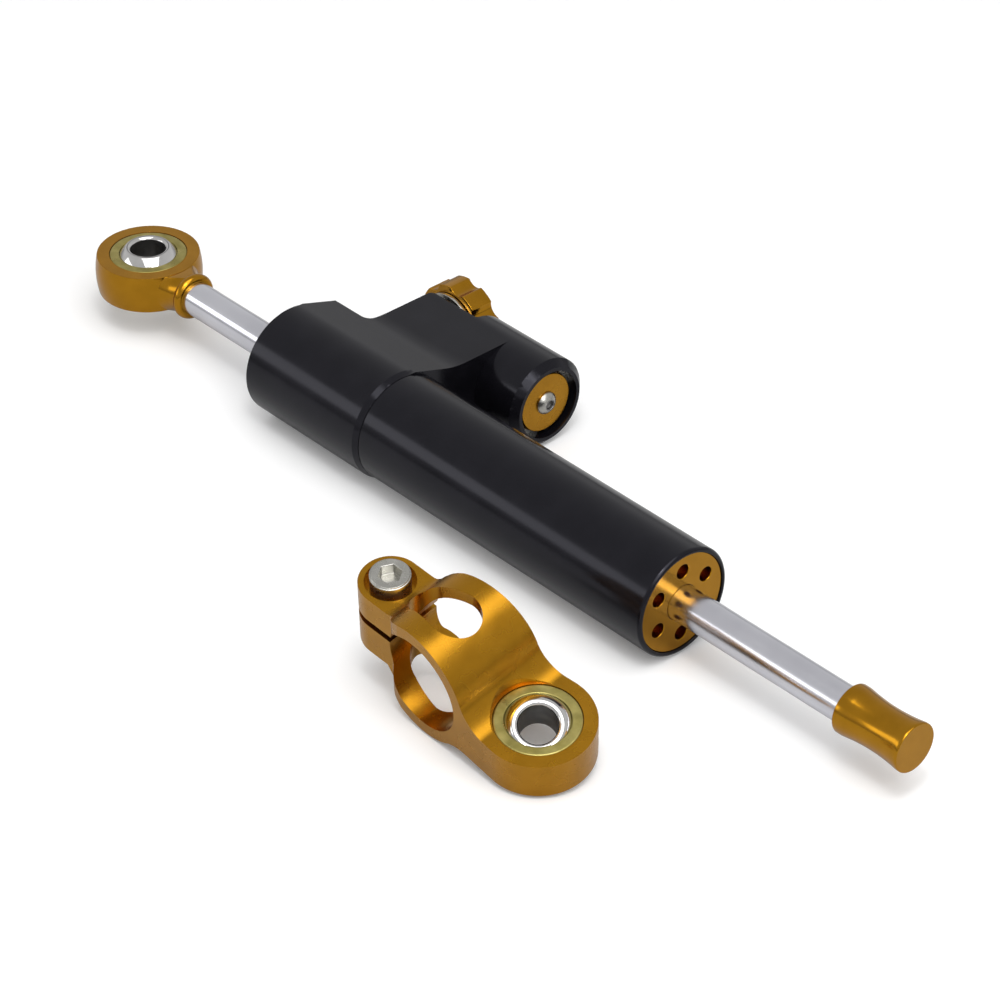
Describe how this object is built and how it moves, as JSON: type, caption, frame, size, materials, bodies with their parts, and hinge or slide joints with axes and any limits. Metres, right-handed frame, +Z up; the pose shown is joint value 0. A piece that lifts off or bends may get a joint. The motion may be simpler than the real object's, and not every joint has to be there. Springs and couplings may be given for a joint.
{
  "type": "steering damper",
  "caption": "Through-rod hydraulic motorcycle steering damper with a side reservoir, a scalloped damping knob, a spherical-bearing rod eye, a stroke bumper and a loose split ring clamp",
  "frame": {"origin": "On the damper's axis, half way along the free length of the main tube", "axes": "+X along the rod towards the stroke bumper, +Y towards the reservoir and the knob, +Z up from the surface that the damper lies on"},
  "size_m": [0.2517, 0.1033, 0.031],
  "materials": {
    "black_anodised": "black anodised, semi-gloss",
    "gold_anodised": "gold anodised, satin",
    "chrome_steel": "hard chromed and ground",
    "zinc_race": "yellow passivated zinc",
    "stainless": "plain stainless steel",
    "bronze": "sintered bronze",
    "seal_rubber": "moulded, matte",
    "slide_ring": "filled fluoropolymer"
  },
  "bodies": {
    "cylinder": {"valve_body": "black_anodised", "main_tube": "black_anodised", "end_cap": "gold_anodised", "front_bush": "bronze", "front_rod_seal": "seal_rubber", "front_wiper": "seal_rubber", "end_cap_o_ring": "seal_rubber", "rear_bush": "bronze", "rear_rod_seal": "seal_rubber", "rear_wiper": "seal_rubber", "tube_o_ring": "seal_rubber", "reservoir_cap": "gold_anodised", "reservoir_circlip": "stainless", "reservoir_o_ring": "seal_rubber", "bleed_screw": "stainless", "compensator_spring": "stainless", "valve_bonnet": "stainless", "bonnet_o_ring": "seal_rubber", "knob_retainer": "stainless"},
    "piston_seal": {"piston_ring": "slide_ring"},
    "rod": {"piston_rod": "chrome_steel", "piston": "gold_anodised", "piston_circlips": "stainless", "rod_eye": "gold_anodised", "eye_race": "zinc_race", "stroke_bumper": "gold_anodised"},
    "rod_ball": {"eye_ball": "chrome_steel"},
    "knob": {"adjuster_knob": "gold_anodised", "detent_ball": "chrome_steel", "detent_spring": "stainless"},
    "needle": {"needle_valve": "chrome_steel"},
    "compensator": {"floating_piston": "gold_anodised", "floating_piston_o_ring": "seal_rubber"},
    "clamp": {"clamp_body": "gold_anodised", "clamp_screw": "stainless", "clamp_race": "zinc_race"},
    "lug_ball": {"clamp_ball": "chrome_steel"}
  },
  "joints": [
    {"name": "rod_slide", "type": "slide", "parent": "cylinder", "child": "piston_seal", "axis": [1, 0, 0], "range_m": [-0.04, 0.03]},
    {"name": "rod_spin", "type": "hinge", "parent": "piston_seal", "child": "rod", "pos_m": [0, 0, 0], "axis": [1, 0, 0], "continuous": true},
    {"name": "eye_swivel", "type": "hinge", "parent": "rod", "child": "rod_ball", "pos_m": [-0.1323, 0, 0], "axis": [0, 1, 0], "range_deg": [-12, 12]},
    {"name": "knob_turn", "type": "hinge", "parent": "cylinder", "child": "knob", "pos_m": [-0.0663, 0.039, 0], "axis": [0, 1, 0], "range_deg": [-150, 150]},
    {"name": "needle_feed", "type": "slide", "parent": "cylinder", "child": "needle", "axis": [0, 1, 0], "range_m": [-0.00035, 0.00035]},
    {"name": "float_slide", "type": "slide", "parent": "cylinder", "child": "compensator", "axis": [1, 0, 0], "range_m": [-0.002, 0.003], "stiffness_N_per_m": 500, "deforming": ["compensator_spring"]},
    {"name": "clamp_lift", "type": "slide", "parent": "cylinder", "child": "clamp", "axis": [0, 0, 1], "range_m": [0, 0.05]},
    {"name": "lug_swivel", "type": "hinge", "parent": "clamp", "child": "lug_ball", "pos_m": [0.04999, -0.04639, -0.00506], "axis": [0.6666, 0.7453, 0.0133], "range_deg": [-40, 0]}
  ],
  "couplings": [
    {"joint": "needle_feed", "follows": "knob_turn", "m_per_rad": 0.00011937}
  ]
}
